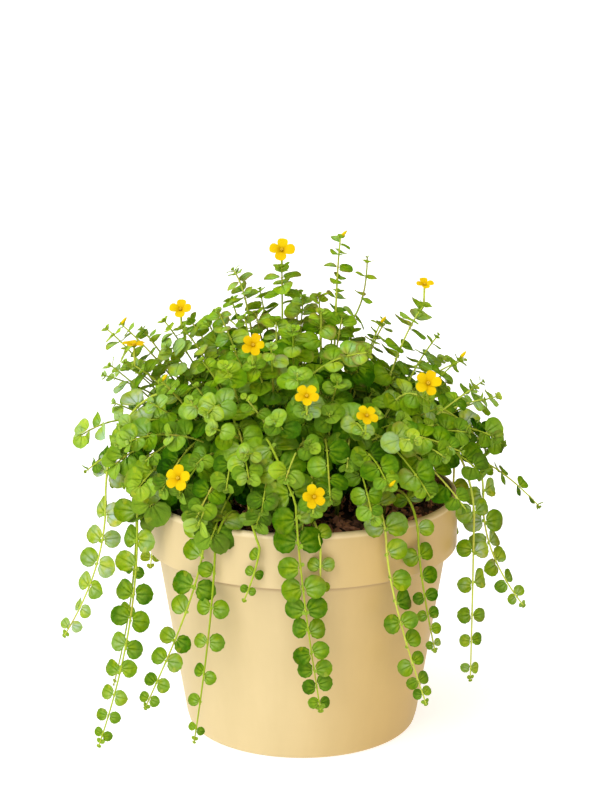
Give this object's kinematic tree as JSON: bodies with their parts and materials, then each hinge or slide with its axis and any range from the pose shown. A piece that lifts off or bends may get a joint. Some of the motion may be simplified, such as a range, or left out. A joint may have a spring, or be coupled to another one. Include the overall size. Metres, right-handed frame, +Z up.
{
  "type": "potted lysimachia",
  "caption": "Creeping plant with round leaves and yellow flowers, mounded over a round collared pot and trailing down its sides.",
  "frame": {"origin": "middle of the flat underside of the pot, on the surface that the pot stands on", "axes": "+Z up along the pot's axis, -Y towards the side with the most trailing stems, +X to the right seen from there"},
  "size_m": [0.3393, 0.2804, 0.3502],
  "materials": {
    "pot_clay": "smooth satin cream clay with faint streaks",
    "potting_mix": "dark damp peat with bark chips",
    "leaf": "soft satin leaf, lighter at the young tips",
    "petal": "soft matt golden yellow"
  },
  "bodies": {
    "root": {"flower_01": "petal", "flower_02": "petal", "flower_03": "petal", "flower_04": "petal", "flower_05": "petal", "flower_06": "petal", "flower_07": "petal", "flower_08": "petal", "flower_09": "petal", "flower_10": "petal", "flowering_shoot_01": "leaf", "flowering_shoot_02": "leaf", "flowering_shoot_03": "leaf", "flowering_shoot_04": "leaf", "flowering_shoot_05": "leaf", "flowering_shoot_06": "leaf", "flowering_shoot_07": "leaf", "flowering_shoot_08": "leaf", "flowering_shoot_09": "leaf", "flowering_shoot_10": "leaf", "leafy_shoot_01": "leaf", "leafy_shoot_02": "leaf", "leafy_shoot_03": "leaf", "leafy_shoot_04": "leaf", "leafy_shoot_05": "leaf", "leafy_shoot_06": "leaf", "leafy_shoot_07": "leaf", "leafy_shoot_08": "leaf", "leafy_shoot_09": "leaf", "leafy_shoot_10": "leaf", "leafy_shoot_11": "leaf", "leafy_shoot_12": "leaf", "leafy_shoot_13": "leaf", "leafy_shoot_14": "leaf", "leafy_shoot_15": "leaf", "leafy_shoot_16": "leaf", "pot": "pot_clay", "soil": "potting_mix", "trailing_stem_01": "leaf", "trailing_stem_02": "leaf", "trailing_stem_03": "leaf", "trailing_stem_04": "leaf", "trailing_stem_05": "leaf", "trailing_stem_06": "leaf", "trailing_stem_07": "leaf", "trailing_stem_08": "leaf", "trailing_stem_09": "leaf", "trailing_stem_10": "leaf", "trailing_stem_11": "leaf", "trailing_stem_12": "leaf", "trailing_stem_13": "leaf", "trailing_stem_14": "leaf", "trailing_stem_15": "leaf", "trailing_stem_16": "leaf"}
  },
  "joints": []
}
